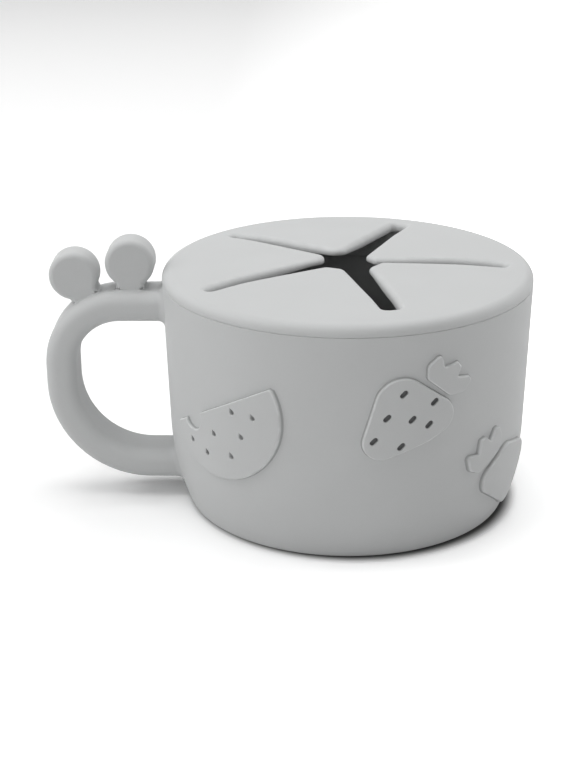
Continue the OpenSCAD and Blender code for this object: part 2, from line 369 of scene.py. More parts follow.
class Graph:
    """A tree of shader nodes, with short calls that place and join them."""

    def __init__(self, tree: bpy.types.NodeTree) -> None:
        """Empties the tree."""
        self.tree = tree
        tree.nodes.clear()

    def node(self, kind: str, inputs: dict | None = None, **settings: object) -> bpy.types.Node:
        """Places a node.

        Args:
            kind: Blender's name for the node, without ShaderNode.
            inputs: What each input, by name or number, is joined to or set to.
            settings: The node's own properties.

        Returns:
            The node.
        """
        made = self.tree.nodes.new(kind if kind.startswith("Node") else "ShaderNode" + kind)
        for name, value in settings.items():
            setattr(made, name, value)
        for name, value in (inputs or {}).items():
            if isinstance(value, bpy.types.NodeSocket):
                self.tree.links.new(value, made.inputs[name])
            else:
                made.inputs[name].default_value = value
        return made

    def noise(self, vector: bpy.types.NodeSocket, size: float, detail: float = 2.0) -> bpy.types.NodeSocket:
        """Noise of a given size in metres: a value round 0.5."""
        inputs = {"Vector": vector, "Scale": 1 / size, "Detail": detail}
        return self.node("TexNoise", inputs).outputs["Fac"]

    def math(self, operation: str, *values: object) -> bpy.types.NodeSocket:
        """A Math node of the given operation on one to three values."""
        return self.node("Math", dict(enumerate(values)), operation=operation).outputs[0]


def group(name: str, inputs: dict[str, Socket], outputs: dict[str, Socket]) -> tuple[Graph, bpy.types.Node]:
    """Starts a node group with named sockets.

    Args:
        name: The group's name.
        inputs: Its inputs.
        outputs: Its outputs.

    Returns:
        Its graph and its input node.
    """
    tree = bpy.data.node_groups.new(name, "ShaderNodeTree")
    graph = Graph(tree)
    for label, kind in inputs.items():
        tree.interface.new_socket(label, in_out="INPUT", socket_type=kind.value)
    for label, kind in outputs.items():
        tree.interface.new_socket(label, in_out="OUTPUT", socket_type=kind.value)
    return graph, graph.node("NodeGroupInput")


@cache
def moulded_skin() -> bpy.types.NodeTree:
    """The fine grain that a blasted mould leaves, over slow waves from shrinkage.

    Returns:
        The group, with the height and the grain.
    """
    sizes = {"Vector": Socket.VECTOR, "Grain": Socket.VALUE, "Waves": Socket.VALUE}
    graph, given = group("moulded skin", sizes, {"Height": Socket.VALUE, "Grain": Socket.VALUE})
    vector = given.outputs["Vector"]
    fine = graph.noise(vector, GRAIN_SIZE, detail=3)
    wave = graph.noise(vector, WAVE_SIZE, detail=1)
    height = graph.math("MULTIPLY", fine, given.outputs["Grain"])
    height = graph.math("MULTIPLY_ADD", wave, given.outputs["Waves"], height)
    graph.node("NodeGroupOutput", {"Height": height, "Grain": fine})
    return graph.tree


@cache
def tone_drift() -> bpy.types.NodeTree:
    """Slow drift of the colour where the silicone is thicker or thinner, with fine flecks.

    Returns:
        The group, with the colour.
    """
    inputs = {"Vector": Socket.VECTOR, "Colour": Socket.COLOUR, "Drift": Socket.VALUE, "Flecks": Socket.VALUE}
    graph, given = group("tone drift", inputs, {"Colour": Socket.COLOUR})
    vector = given.outputs["Vector"]
    slow = graph.math("SUBTRACT", graph.noise(vector, DRIFT_SIZE), 0.5)
    fine = graph.math("SUBTRACT", graph.noise(vector, FLECK_SIZE), 0.5)
    change = graph.math("MULTIPLY_ADD", slow, given.outputs["Drift"], 1.0)
    change = graph.math("MULTIPLY_ADD", fine, given.outputs["Flecks"], change)
    toned = graph.node("VectorMath", {0: given.outputs["Colour"], "Scale": change}, operation="SCALE")
    graph.node("NodeGroupOutput", {"Colour": toned.outputs[0]})
    return graph.tree


@cache
def edge_wear_and_highlight_mask() -> bpy.types.NodeTree:
    """Mask of the rounded edges, in uneven patches, where they are worn smooth and where the finish paints a
    highlight on them.

    Returns:
        The group, with the mask.
    """
    inputs = {"Vector": Socket.VECTOR, "Edge wear and highlight": Socket.VALUE}
    graph, given = group("edge wear and highlight mask", inputs, {"Mask": Socket.VALUE})
    patches = graph.noise(given.outputs["Vector"], PATCH_SIZE)
    spread = graph.node("MapRange", {"Value": patches, **PATCH_RANGE})
    mask = graph.math("MULTIPLY", given.outputs["Edge wear and highlight"], spread.outputs[0])
    graph.node("NodeGroupOutput", {"Mask": mask})
    return graph.tree


@cache
def painted_shade_tone() -> bpy.types.NodeTree:
    """Painted shade: darkens the colour by the painted shade attribute, down in the pits, at the reliefs'
    feet and inside the cup.

    Returns:
        The group, with the colour.
    """
    # The Depth input carries the painted shade attribute.
    inputs = {"Colour": Socket.COLOUR, "Depth": Socket.VALUE}
    graph, given = group("painted shade tone", inputs, {"Colour": Socket.COLOUR})
    lit = graph.math("SUBTRACT", 1.0, given.outputs["Depth"])
    toned = graph.node("VectorMath", {0: given.outputs["Colour"], "Scale": lit}, operation="SCALE")
    graph.node("NodeGroupOutput", {"Colour": toned.outputs[0]})
    return graph.tree


@dataclass(frozen=True)
class Silicone:
    """Matte moulded silicone, in one colour, darkened by painted shade and lightened along worn edges and
    painted highlights where the mesh marks them.

    Attributes:
        name: The material's name.
        colour: Colour, as linear red, green and blue.
        roughness: Roughness of the open surface.
        uneven: Change of the roughness up or down with the grain.
        polish: Fall of the roughness where edges are rubbed.
        wear_and_painted_highlight: Lightening of the masked edges: partly wear where the silicone is thin,
            partly a painted highlight along the rounded rims.
        drift: Slow change of the colour.
        flecks: Fine change of the colour.
        grain: Height of the fine grain.
        waves: Height of the slow waves.
        ior: Index of refraction.
        sheen: Weight of the sheen.
        sheen_roughness: Roughness of the sheen.
    """

    name: str
    colour: tuple[float, float, float]
    roughness: float = 0.62
    uneven: float = 0.05
    polish: float = 0.12
    wear_and_painted_highlight: float = 0.05
    drift: float = 0.05
    flecks: float = 0.03
    grain: float = 0.014 * MM
    waves: float = 0.03 * MM
    ior: float = 1.41
    sheen: float = 0.06
    sheen_roughness: float = 0.5

    @cache
    def material(self) -> bpy.types.Material:
        """The material, built when it is first asked for.

        Returns:
            The material.
        """
        made = bpy.data.materials.new(self.name)
        made.use_nodes = True
        graph = Graph(made.node_tree)
        place = graph.node("TexCoord").outputs["Object"]
        skin = graph.node("Group", node_tree=moulded_skin())
        tone = graph.node("Group", node_tree=tone_drift())
        edge_mask_group = graph.node("Group", node_tree=edge_wear_and_highlight_mask())
        for each in (skin, tone, edge_mask_group):
            graph.tree.links.new(place, each.inputs["Vector"])
        skin.inputs["Grain"].default_value = self.grain / MM
        skin.inputs["Waves"].default_value = self.waves / MM
        tone.inputs["Colour"].default_value = (*self.colour, 1)
        tone.inputs["Drift"].default_value = self.drift
        tone.inputs["Flecks"].default_value = self.flecks
        # The edge mask: wear on the rounded edges, and on the fruit a painted highlight along their rims.
        edge_wear_and_highlight = graph.node("Attribute", attribute_name="edge_wear_and_highlight").outputs["Fac"]
        graph.tree.links.new(edge_wear_and_highlight, edge_mask_group.inputs["Edge wear and highlight"])
        mask = edge_mask_group.outputs["Mask"]
        # Lightens the masked edges: partly wear, partly painted highlight.
        wear_and_painted_highlight = graph.math("MULTIPLY_ADD", mask, self.wear_and_painted_highlight, 1.0)
        worn_and_highlighted = graph.node("VectorMath", {0: tone.outputs["Colour"], "Scale": wear_and_painted_highlight}, operation="SCALE")
        # Painted shade: the painted shade attribute darkens the colour in the pits, at the reliefs' feet and
        # inside the cup.
        depth = graph.node("Attribute", attribute_name="deep").outputs["Fac"]
        colour = graph.node("Group", node_tree=painted_shade_tone())
        graph.tree.links.new(worn_and_highlighted.outputs[0], colour.inputs["Colour"])
        graph.tree.links.new(depth, colour.inputs["Depth"])
        low = self.roughness - self.uneven
        open_roughness = graph.math("MULTIPLY_ADD", skin.outputs["Grain"], 2 * self.uneven, low)
        roughness = graph.math("MULTIPLY_ADD", mask, -self.polish, open_roughness)
        bump = graph.node("Bump", {"Height": skin.outputs["Height"], "Distance": MM, "Strength": 1.0})
        shader = graph.node(
            "BsdfPrincipled",
            {
                "Base Color": colour.outputs[0],
                "Roughness": roughness,
                "Normal": bump.outputs[0],
                "IOR": self.ior,
                "Sheen Weight": self.sheen,
                "Sheen Roughness": self.sheen_roughness,
            },
        )
        graph.node("OutputMaterial", {"Surface": shader.outputs[0]})
        return made


# --- Cup ------------------------------------------------------------------------------


@dataclass(frozen=True)
class Wall:
    """The cup's outside surface: a drafted upper wall on a rounded lower one.

    Attributes:
        rim: Radius at the seam.
        height: Height of the seam.
        draft: Lean of the upper wall, in radians.
        shoulder: Height at which the upper wall meets the lower one.
        bowl: Radius of the lower wall, seen from the side.
        base_fillet: Fillet round the base.
        thickness: Thickness of the wall.
    """

    rim: float
    height: float
    draft: float = math.radians(1.8)
    shoulder: float = 21 * MM
    bowl: float = 60 * MM
    base_fillet: float = 1.2 * MM
    thickness: float = 3 * MM

    @property
    def bowl_middle(self) -> Point:
        """Middle of the lower wall's arc, as a radius and a height.

        Returns:
            The radius and the height.
        """
        shoulder_radius = self.rim - (self.height - self.shoulder) * math.tan(self.draft)
        return (
            shoulder_radius - self.bowl * math.cos(self.draft),
            self.shoulder + self.bowl * math.sin(self.draft),
        )

    def radius(self, z: float, clear: float = 0.0) -> float:
        """Radius of the surface at a height, with some clearance outside it.

        Args:
            z: The height.
            clear: The clearance.

        Returns:
            The radius.
        """
        if z > self.shoulder:
            fall = (self.height - z) * math.tan(self.draft)
            return self.rim - fall + clear / math.cos(self.draft)
        x, middle = self.bowl_middle
        return x + math.sqrt((self.bowl + clear) ** 2 - (z - middle) ** 2)

    def lower(self, fillet: float, floor: float, inset: float, steps: int) -> list[Point]:
        """The fillet at a floor and the lower wall above it.

        Args:
            fillet: Radius of the fillet.
            floor: Height of the floor.
            inset: Distance from the outside surface in to this one.
            steps: Number of steps in each arc.

        Returns:
            Radius and height of each point, from the floor up.
        """
        x, middle = self.bowl_middle
        z = floor + fillet
        reach = self.bowl - inset - fillet
        centre = (x + math.sqrt(reach**2 - (middle - z) ** 2), z)
        touch = math.degrees(math.atan2(z - middle, centre[0] - x))
        outer = arc((x, middle), self.bowl - inset, touch, -math.degrees(self.draft), steps)
        return arc(centre, fillet, -90, touch, steps) + outer[1:]

    def facing(self, angle: float, x: float, z: float, clear: float) -> Vector:
        """The point of the surface that a flat drawing's point falls on.

        Args:
            angle: Direction in which the drawing faces, in degrees from -Y towards +X.
            x: Place across the drawing.
            z: Height above the table.
            clear: Clearance outside the surface.

        Returns:
            The point.
        """
        turn = math.radians(angle)
        across = Vector((math.cos(turn), math.sin(turn), 0))
        outwards = Vector((math.sin(turn), -math.cos(turn), 0))
        return across * x + outwards * math.sqrt(self.radius(z, clear) ** 2 - x**2) + UP * z


@dataclass
class Cup:
    """The cup's body, with its bore and its rounded inside.

    Attributes:
        wall: Its outside surface.
        finish: Its finish.
        floor: Thickness of the floor.
        floor_fillet: Fillet between the floor and the wall, inside.
        seam_fillet: Fillet of the upper edge at the seam.
        bore_depth: Depth of the bore that holds the lid.
        inside_painted_shade: Painted shade inside the cup below the bore, from 0 to 1.
        steps_round: Number of steps round.
    """

    wall: Wall
    finish: Silicone
    floor: float = 3.5 * MM
    floor_fillet: float = 8 * MM
    seam_fillet: float = 0.25 * MM
    bore_depth: float = 8 * MM
    inside_painted_shade: float = 0.6
    steps_round: int = 192

    @property
    def throat(self) -> Point:
        """Radius and height of the inside, just below the bore."""
        wall, z = self.wall, self.wall.height - self.bore_depth
        return wall.radius(z) - wall.thickness / math.cos(wall.draft), z

    def profile(self) -> list[Point]:
        """Half section of the body, from the middle of the base out, up and in again.

        Returns:
            Radius and height of each point.
        """
        wall, fillet = self.wall, self.seam_fillet
        bore = wall.rim - wall.thickness
        inside = wall.lower(self.floor_fillet, self.floor, wall.thickness, steps=12)
        return [
            (0, 0),
            *wall.lower(wall.base_fillet, 0, 0, steps=12),
            *arc((wall.rim - fillet, wall.height - fillet), fillet, 0, 90, steps=6),
            *arc((bore + fillet, wall.height - fillet), fillet, 90, 180, steps=6),
            (bore, self.throat[1] + fillet),
            self.throat,
            *reversed(inside),
            (0, self.floor),
        ]

    def build(self) -> None:
        """Spins the half section into the body."""
        blank = Blank()
        bm = blank.bm
        profile = self.profile()
        verts = [bm.verts.new((x, 0, z)) for x, z in profile]
        # Painted shade inside the cup, below the bore.
        for v in verts[profile.index(self.throat) + 1 :]:
            v[blank.deep] = self.inside_painted_shade
        edges = [bm.edges.new(pair) for pair in zip(verts, verts[1:])]
        bmesh.ops.spin(
            bm,
            geom=[*verts, *edges],
            cent=(0, 0, 0),
            axis=(0, 0, 1),
            angle=math.tau,
            steps=self.steps_round,
            use_merge=True,
        )
        dress(blank.piece("cup"), self.finish, "cup", "cup_body")


@dataclass
class Handle:
    """The loop handle, which flares where its two arms grow out of the wall.

    Attributes:
        wall: The cup's outside surface.
        finish: Its finish.
        width: Width of the section, along Y.
        thickness: Thickness of the section.
        rounding: Rounding of the section's corners.
        arm_drop: Distance of the top arm's middle below the seam.
        arm: Length of the top arm from the rim out.
        corner: Radius of the upper corner's middle line.
        side: Length of the straight side between the corners.
        lower_corner: Radius of the lower corner's middle line.
        flare: Radius of the flare at the wall.
        sunk: Depth to which the feet reach into the wall.
        inner_knob: Distance of the inner knob's middle from the rim.
        outer_knob: Turn of the outer knob from upright, in degrees.
        steps: Number of steps in each corner.
    """

    wall: Wall
    finish: Silicone
    width: float = 13.4 * MM
    thickness: float = 7.5 * MM
    rounding: float = 3 * MM
    arm_drop: float = 6.55 * MM
    arm: float = 10.4 * MM
    corner: float = 15 * MM
    side: float = 4.85 * MM
    lower_corner: float = 21.5 * MM
    flare: float = 1.5 * MM
    sunk: float = 0.8 * MM
    inner_knob: float = 7.7 * MM
    outer_knob: float = -26.5
    steps: int = 24

    @property
    def arm_z(self) -> float:
        """Height of the middle of the top arm."""
        return self.wall.height - self.arm_drop

    @property
    def corner_middle(self) -> Vector:
        """Middle of the upper corner."""
        return Vector((-(self.wall.rim + self.arm), 0, self.arm_z - self.corner))

    @property
    def lower_middle(self) -> Vector:
        """Middle of the lower corner."""
        upper = self.corner_middle
        return Vector((upper.x - self.corner + self.lower_corner, 0, upper.z - self.side))

    def crown(self, y: float) -> float:
        """Height of the outer face above the handle's middle, at a place across it."""
        over = max(0.0, abs(y) - (self.width / 2 - self.rounding))
        return self.thickness / 2 - self.rounding + math.sqrt(max(0.0, self.rounding**2 - over**2))

    def seat(self, blank: Blank, z: float, side: float, grow: float, clear: float) -> Place:
        """Places a ring of the section round an arm's foot.

        Args:
            blank: The mesh in the making.
            z: Height of the arm's middle.
            side: 1 where the section's outer face is on top, or -1.
            grow: Growth of the section.
            clear: Clearance of the ring from the wall.

        Returns:
            What gives each corner's place.
        """

        def place(v: BMVert) -> Vector:
            """The place of a corner.

            Args:
                v: The corner.

            Returns:
                Its place.
            """
            section = v[blank.home] + v[blank.out] * grow
            height = z + side * section.y
            reach = self.wall.radius(height, clear) ** 2 - section.x**2
            return Vector((-math.sqrt(reach), section.x, height))

        return place

    def build(self) -> None:
        """Sweeps the section from one foot round the loop to the other."""
        blank = Blank()
        w, t, r = self.width / 2, self.thickness / 2, self.rounding
        section = rounded([(-w, -t, r), (w, -t, r), (w, t, r), (-w, t, r)])
        fillet = [(fall, self.flare - out) for out, fall in [(0, 0), *quarter(self.flare, steps=6)]]
        foot = [(self.flare, -self.sunk), *reversed(fillet)]
        edges = first = blank.outline(section)
        for v in {v for e in edges for v in e.verts}:
            v.co = self.seat(blank, self.arm_z, 1, *foot[0])(v)
        for grow, clear in foot[1:]:
            edges = blank.loft(edges, self.seat(blank, self.arm_z, 1, grow, clear))
        upper, lower = self.corner_middle, self.lower_middle
        edges = blank.loft(
            edges,
            lambda v: Vector((upper.x, v[blank.home].x, self.arm_z + v[blank.home].y)),
        )
        edges = self.bend(blank, edges, upper)
        edges = blank.loft(edges, lambda v: v.co - UP * self.side)
        edges = self.bend(blank, edges, lower)
        lower_z = lower.z - self.lower_corner
        for grow, clear in reversed(foot):
            edges = blank.loft(edges, self.seat(blank, lower_z, -1, grow, clear))
        for ends in (first, edges):
            bmesh.ops.edgeloop_fill(blank.bm, edges=ends)
        dress(blank.piece("handle_loop"), self.finish, "cup", "handle")

    def bend(self, blank: Blank, edges: list[BMEdge], middle: Vector) -> list[BMEdge]:
        """Spins the open end a quarter turn about a corner's middle, away from the cup.

        Args:
            blank: The mesh in the making.
            edges: The open end.
            middle: Middle of the corner.

        Returns:
            The new open end's edges.
        """
        made = bmesh.ops.spin(
            blank.bm,
            geom=[*dict.fromkeys(v for e in edges for v in e.verts), *edges],
            cent=middle,
            axis=(0, -1, 0),
            angle=math.pi / 2,
            steps=self.steps,
        )["geom_last"]
        return [item for item in made if isinstance(item, BMEdge)]


@dataclass
class Knob:
    """A flat round knob on a neck, whose foot flares onto the handle.

    Its own frame has the knob's face along X and Z and the handle's middle line under
    the origin.

    Attributes:
        name: The piece's name, which is also the end of its CAD node's name.
        handle: The handle that it stands on.
        finish: Its finish.
        place: Its frame.
        height: Height of the face's middle above the handle.
        curve: Radius of the handle's middle line there, or 0 where it is straight.
        foot: Radius of the flare at the handle.
        radius: Radius of the face.
        thickness: Thickness from face to face.
        rounding: Rounding of the faces' edges.
        neck: Width of the neck.
        throat: Radius of the fillets between the face and the neck.
        sunk: Depth to which the foot reaches into the handle.
    """

    name: str
    handle: Handle
    finish: Silicone
    place: Matrix
    height: float
    curve: float
    foot: float = 0.4 * MM
    radius: float = 6 * MM
    thickness: float = 7.5 * MM
    rounding: float = 1.4 * MM
    neck: float = 7 * MM
    throat: float = 1 * MM
    sunk: float = 1 * MM

    def outline(self) -> list[Point]:
        """The face's outline, from the neck's left foot over the top to its right foot.

        Returns:
            The outline's points, across and up.
        """
        middle = self.handle.thickness / 2 + self.height
        side = self.neck / 2
        reach = self.radius + self.throat
        throat_z = middle - math.sqrt(reach**2 - (side + self.throat) ** 2)
        lean = math.degrees(math.atan2(middle - throat_z, side + self.throat))
        bottom = min(throat_z, self.surface(side, 0) + self.foot) - WELD * 10
        left = arc((-side - self.throat, throat_z), self.throat, 0, lean, steps=5)
        right = [(-x, z) for x, z in reversed(left)]
        disc = arc((0, middle), self.radius, 180 + lean, -lean, steps=44)[1:-1]
        return [(-side, bottom), *left, *disc, *right, (side, bottom)]

    def surface(self, x: float, y: float) -> float:
        """Height of the handle's outer face over its middle line.

        Args:
            x: Place along the handle.
            y: Place across it.

        Returns:
            The height.
        """
        crown = self.handle.crown(y)
        if not self.curve:
            return crown
        return math.sqrt((self.curve + crown) ** 2 - x**2) - self.curve

    def build(self) -> None:
        """Thickens the outline, rounds its edges and flares its foot onto the handle."""
        blank = Blank()
        bm = blank.bm
        half = self.thickness / 2
        face = bm.faces.new([bm.verts.new((x, -half, z)) for x, z in self.outline()])
        made = bmesh.ops.extrude_face_region(bm, geom=[face])["geom"]
        moved = [item for item in made if isinstance(item, BMVert)]
        bmesh.ops.translate(bm, verts=moved, vec=(0, self.thickness, 0))
        bottom = min(v.co.z for v in bm.verts)
        rims = [
            e
            for e in bm.edges
            if abs(e.verts[0].co.y - e.verts[1].co.y) < WELD
            and max(v.co.z for v in e.verts) > bottom + WELD
        ]
        bmesh.ops.bevel(
            bm,
            geom=rims,
            offset=self.rounding,
            segments=6,
            profile=0.5,
            affect="EDGES",
            material=-1,
        )
        feet = [f for f in bm.faces if all(v.co.z < bottom + WELD for v in f.verts)]
        under = bmesh.ops.dissolve_faces(bm, faces=feet)["region"][0] if len(feet) > 1 else feet[0]
        edges = blank.note(under)
        bmesh.ops.delete(bm, geom=[under], context="FACES_ONLY")
        for fall, out in [(0, 0), *quarter(self.foot)]:
            edges = blank.loft(edges, self.seat(blank, out, fall))
        edges = blank.loft(edges, self.seat(blank, self.foot, self.foot + self.sunk))
        bmesh.ops.edgeloop_fill(bm, edges=edges)
        bmesh.ops.transform(bm, matrix=self.place, verts=bm.verts)
        dress(blank.piece(self.name), self.finish, "cup", "handle_" + self.name)

    def seat(self, blank: Blank, out: float, fall: float) -> Place:
        """Places a ring of the foot, grown by `out` and `fall` below the foot's top.

        Args:
            blank: The mesh in the making.
            out: Growth of the ring.
            fall: Distance of the ring below the foot's top.

        Returns:
            What gives each corner's place.
        """

        def place(v: BMVert) -> Vector:
            """The place of a corner.

            Args:
                v: The corner.

            Returns:
                Its place.
            """
            home, away = v[blank.home], v[blank.out]
            x, y = home.x + away.x * out, home.y + away.y * out
            return Vector((x, y, self.surface(x, y) + self.foot - fall))

        return place


@dataclass
class Relief:
    """A raised fruit on the wall, drawn flat and then laid onto the wall.

    Attributes:
        name: Name of the CAD node that it stands for.
        wall: The cup's outside surface.
        finish: Its finish.
        angle: Direction in which it faces, in degrees from -Y towards +X.
        z: Height of the drawing's middle above the table.
        outline: The drawing's outline, anticlockwise.
        seeds: Outlines of the seed pits in it.
        dark: Painted shade in the pits, from 0 to 1.
        shade: Painted shade in the corner at the wall, from 0 to 1.
        height: Height of its face above the wall.
        rounding: Rounding of its edge.
        foot: Radius of the flare at the wall.
        sunk: Depth to which it reaches into the wall.
        pit_rounding: Rounding of the pits' rims.
        pit_depth: Depth of the pits.
        pit_taper: How far each pit's floor stands in from its rim, in two steps.
        grid: Distance between the cuts that let it follow the wall.
    """

    name: str
    wall: Wall
    finish: Silicone
    angle: float
    z: float
    outline: list[Point]
    seeds: list[list[Point]] = field(default_factory=list)
    dark: float = 0.0
    shade: float = 0.35
    height: float = 1 * MM
    rounding: float = 0.35 * MM
    foot: float = 0.2 * MM
    sunk: float = 0.6 * MM
    pit_rounding: float = 0.12 * MM
    pit_depth: float = 0.7 * MM
    pit_taper: float = 0.1 * MM
    grid: float = 2 * MM

    def build(self) -> None:
        """Draws the relief flat, with round edges and pits, and lays it onto the wall."""
        blank = Blank()
        top, r = self.height, self.rounding
        edge = blank.outline(self.outline, -r, top)
        pits = [blank.outline(seed, self.pit_rounding, top) for seed in self.seeds]
        blank.fill([*edge, *(e for pit in pits for e in pit)])
        for pit in pits:
            self.sink(blank, pit)
        # The rounded rim gets the edge mask, for wear and painted highlight.
        edge = blank.rings(edge, [(out - r, top - fall) for out, fall in quarter(r)], 1.0)
        foot = [(0, 0), *quarter(self.foot)]
        # Painted shade in the corner where the relief meets the wall.
        edge = blank.rings(edge, [(fall, self.foot - out) for out, fall in foot], 0.0, self.shade)
        edge = blank.rings(edge, [(self.foot, -self.sunk)], 0.0, self.shade)
        blank.fill(edge)
        xs = [x for x, _ in self.outline]
        ys = [y for _, y in self.outline]
        blank.cut_evenly(0, min(xs), max(xs), self.grid)
        blank.cut_evenly(1, min(ys), max(ys), self.grid)
        blank.warp(lambda v: self.wall.facing(self.angle, v.co.x, self.z + v.co.y, v.co.z))
        dress(blank.piece(self.name), self.finish, "cup", self.name)

    def sink(self, blank: Blank, pit: list[BMEdge]) -> None:
        """Takes the loop round a seed down into a pit with a round rim and a round floor.

        Args:
            blank: The mesh in the making.
            pit: The loop round the seed.
        """
        rim, taper = self.pit_rounding, self.pit_taper
        floor = self.height - self.pit_depth
        pit = blank.rings(pit, [(rim - out, self.height - fall) for out, fall in quarter(rim, steps=3)])
        # Painted shade down in the pit: its lower wall and floor are darkened.
        pit = blank.rings(pit, [(-taper, floor + 2 * taper), (-2 * taper, floor)], 0.0, self.dark)
        bmesh.ops.edgeloop_fill(blank.bm, edges=pit)


SEED_RADIUS = 0.62 * MM


def drop_seed(reach: float = 1.25 * MM, blunt: float = 0.97) -> list[Point]:
    """Outline of a seed pit: a drop that points along +Y, blunt at its end.

    Args:
        reach: Distance from the middle of its round end to where its sides would meet.
        blunt: Share of that distance at which it ends.

    Returns:
        The outline's points.
    """
    lean = math.degrees(math.asin(SEED_RADIUS / reach))
    return [*arc((0, 0), SEED_RADIUS, 180 - lean, 360 + lean, steps=14), (0, reach * blunt)]


def oval_seed(length: float = 2.2 * MM) -> list[Point]:
    """Outline of a seed pit: a bar with round ends along +X.

    Args:
        length: Length from end to end.

    Returns:
        The outline's points.
    """
    side = length / 2 - SEED_RADIUS
    return [
        *arc((side, 0), SEED_RADIUS, -90, 90, steps=8),
        *arc((-side, 0), SEED_RADIUS, 90, 270, steps=8),
    ]


@dataclass
class Melon:
    """A slice of melon with a bite out of its cut edge.

    Attributes:
        angle: Direction in which it faces, in degrees from -Y towards +X.
        drop: Distance of its middle below the seam.
        radius: Radius of the rind.
        tilt: Turn of the slice, in degrees.
        bite: Radius of the bite.
        bite_x: Distance of the bite from the middle of the cut edge.
        corner: Distance by which the cut edge's corners are cut back.
        rind_from: Turn from the cut edge to the start of the rind, in degrees.
        dark: Painted shade in the seed pits, from 0 to 1.
        seeds: Share of the radius and direction from the middle of the cut edge, in degrees.
    """

    angle: float = -42.9
    drop: float = 21.4 * MM
    radius: float = 17.6 * MM
    tilt: float = 27.6
    bite: float = 3.4 * MM
    bite_x: float = 9.7 * MM
    corner: float = 0.5 * MM
    rind_from: float = 2
    dark: float = 0.45
    seeds: tuple[Point, ...] = (
        (0.63, -27), (0.31, -24), (0.54, -62), (0.68, -94), (0.72, -132), (0.38, -122), (0.79, -157),
    )

    def outline(self) -> list[Point]:
        """Outline of the slice, level and with its cut edge on top.

        Returns:
            The outline's points.
        """
        rind = arc((0, 0), self.radius, 180 + self.rind_from, 360 - self.rind_from, steps=60)
        bite = arc((-self.bite_x, 0), self.bite, 0, -180, steps=20)
        return [*rind, (self.radius - self.corner, 0), *bite, (self.corner - self.radius, 0)]

    def build(self, wall: Wall, finish: Silicone) -> None:
        """Lays the slice onto the wall, tilted.

        Args:
            wall: The cup's outside surface.
            finish: Its finish.
        """
        places = [arc((0, 0), share * self.radius, turn, turn, steps=1)[0] for share, turn in self.seeds]
        pits = [turned(drop_seed(), 0, place) for place in places]
        Relief(
            name="melon_relief",
            wall=wall,
            finish=finish,
            angle=self.angle,
            z=wall.height - self.drop,
            outline=turned(self.outline(), self.tilt),
            seeds=[turned(pit, self.tilt) for pit in pits],
            dark=self.dark,
        ).build()


@dataclass
class Strawberry:
    """A strawberry, drawn in millimetres in its own plane, with a crown of leaves beside it.

    Attributes:
        name: Name of the CAD node that the berry stands for.
        angle: Direction in which it faces, in degrees from -Y towards +X.
        z: Height of its middle above the table.
        lobes: x, y and radius of its lobes, anticlockwise.
        crown: x, y and turn of its crown, whose leaves point along +Y before the turn.
        seeds: Middles of its seeds.
        seed_turn: Direction in which the seeds lie, in degrees.
        dark: Painted shade in its seed pits, from 0 to 1.
        leaves: x, y and radius of the crown's corners, anticlockwise.
    """

    name: str
    angle: float
    z: float
    lobes: tuple[tuple[float, float, float], ...]
    crown: tuple[float, float, float]
    seeds: tuple[Point, ...] = ()
    seed_turn: float = 44
    dark: float = 0.8
    leaves: tuple[tuple[float, float, float], ...] = (
        (-3.3, -3.2, 1.5), (4.4, -2.4, 1.5), (6.9, 0.5, 1.5), (6.5, 3.6, 0.7), (5.2, 3.8, 0.5),
        (2.7, 1.9, 0.3), (1.6, 4.2, 0.6), (0, 4.4, 0.5), (-1.8, 1.4, 0.3), (-4.9, 3.1, 0.8),
        (-5.4, -1, 1.8),
    )

    def build(self, wall: Wall, finish: Silicone) -> None:
        """Lays the berry and its crown onto the wall.

        Args:
            wall: The cup's outside surface.
            finish: Their finish.
        """
        pits = [turned(oval_seed(), self.seed_turn, (x * MM, y * MM)) for x, y in self.seeds]
        x, y, turn = self.crown
        drawings = {
            self.name: (belt(self.metres(self.lobes)), pits),
            self.name + "_crown": (
                turned(rounded(self.metres(self.leaves)), turn, (x * MM, y * MM)),
                [],
            ),
        }
        for name, (outline, seeds) in drawings.items():
            Relief(name, wall, finish, self.angle, self.z, outline, seeds, self.dark).build()

    def metres(self, rounds: tuple[tuple[float, float, float], ...]) -> list[tuple[float, ...]]:
        """Rounds or corners given in millimetres, in metres."""
        return [tuple(MM * size for size in each) for each in rounds]


# --- Lid ------------------------------------------------------------------------------


@dataclass(frozen=True)
class Slit:
    """One slit of the lid, and the flap on its left, seen from the lid's middle.

    Attributes:
        azimuth: Direction of the slit, in degrees.
        stations: At three distances from the lid's middle, the last at the slit's end, how
            far the slit's middle lies to the left of that direction, and its width. All are
            in millimetres.
        tip: Distance from the lid's middle to the flap's blunt tip.
    """

    azimuth: float
    stations: tuple[tuple[float, float, float], ...]
    tip: float

    @property
    def axes(self) -> tuple[Vector, Vector]:
        """The slit's direction, and the direction to its left."""
        turn = math.radians(self.azimuth)
        return Vector((math.cos(turn), math.sin(turn))), Vector((-math.sin(turn), math.cos(turn)))

    def side(self, hand: float) -> list[Vector]:
        """One side of the slit at the three stations, outwards.

        Args:
            hand: 1 for the left side, -1 for the right one.

        Returns:
            The side's places, in the plane of X and Y.
        """
        along, left = self.axes
        return [
            (along * reach + left * (shift + hand * width / 2)) * MM
            for reach, shift, width in self.stations
        ]

    def end(self, short: float) -> Vector:
        """A place in the slit, a little short of its end.

        Args:
            short: Distance from the end.

        Returns:
            The place, in the plane of X and Y.
        """
        along, left = self.axes
        reach, shift, _ = self.stations[-1]
        return (along * reach + left * shift) * MM - along * short

    def is_left(self, spot: Vector) -> bool:
        """True where a spot on the lid lies on the left of the slit's middle line.

        Args:
            spot: The spot.

        Returns:
            True on the left.
        """
        along, left = self.axes
        reach = spot.xy.dot(along) / MM
        shift = self.stations[0][1]
        for (near, start, _), (far, finish, _) in zip(self.stations, self.stations[1:]):
            if reach > near:
                shift = start + (finish - start) * min(1.0, (reach - near) / (far - near))
        return spot.xy.dot(left) > shift * MM


